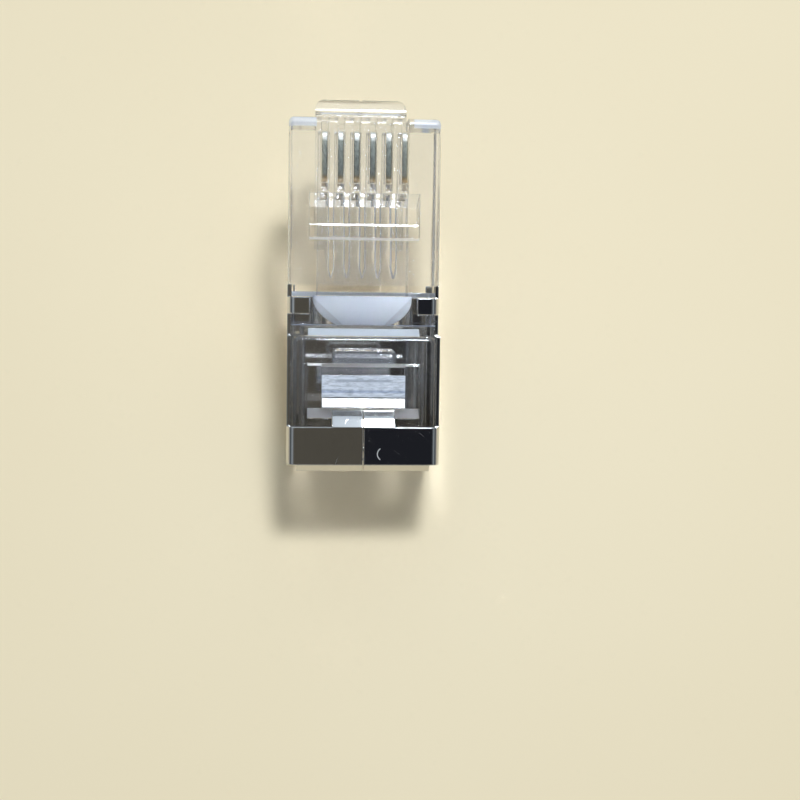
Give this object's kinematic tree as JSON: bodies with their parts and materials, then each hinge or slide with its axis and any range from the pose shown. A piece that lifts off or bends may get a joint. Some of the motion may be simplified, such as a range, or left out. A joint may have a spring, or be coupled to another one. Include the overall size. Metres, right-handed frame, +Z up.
{
  "type": "shielded six position modular plug",
  "caption": "Clear modular plug for a round cable, with plated contact blades in open slots, a sprung latch under the nose and a folded metal shield round the cable end.",
  "frame": {"origin": "The middle of the footprint's box, on the surface that the plug lies on.", "axes": "+Z up, +Y toward the nose, +X to the right seen from the cable end. The plug lies on its latch and on the lower rear edge of its shield, so its nose points up and forward."},
  "size_m": [0.0096, 0.0256, 0.0147],
  "materials": {
    "clear_plastic": "clear moulded polycarbonate, polished, with small tool marks",
    "plated_sheet": "bright nickel plating on folded brass sheet, finely scratched",
    "plated_contact": "thin worn bright plating on stamped bronze"
  },
  "bodies": {
    "plug": {"housing": "clear_plastic", "shield": "plated_sheet", "contact_1": "plated_contact", "contact_2": "plated_contact", "contact_3": "plated_contact", "contact_4": "plated_contact", "contact_5": "plated_contact", "contact_6": "plated_contact"},
    "latch": {"latch": "clear_plastic"}
  },
  "joints": [
    {"name": "latch_flex", "type": "hinge", "parent": "plug", "child": "latch", "pos_m": [0, 0.01173, 0.00883], "axis": [-1, 0, 0], "range_deg": [0, 12.5], "stiffness_Nm_per_rad": 0.12}
  ]
}
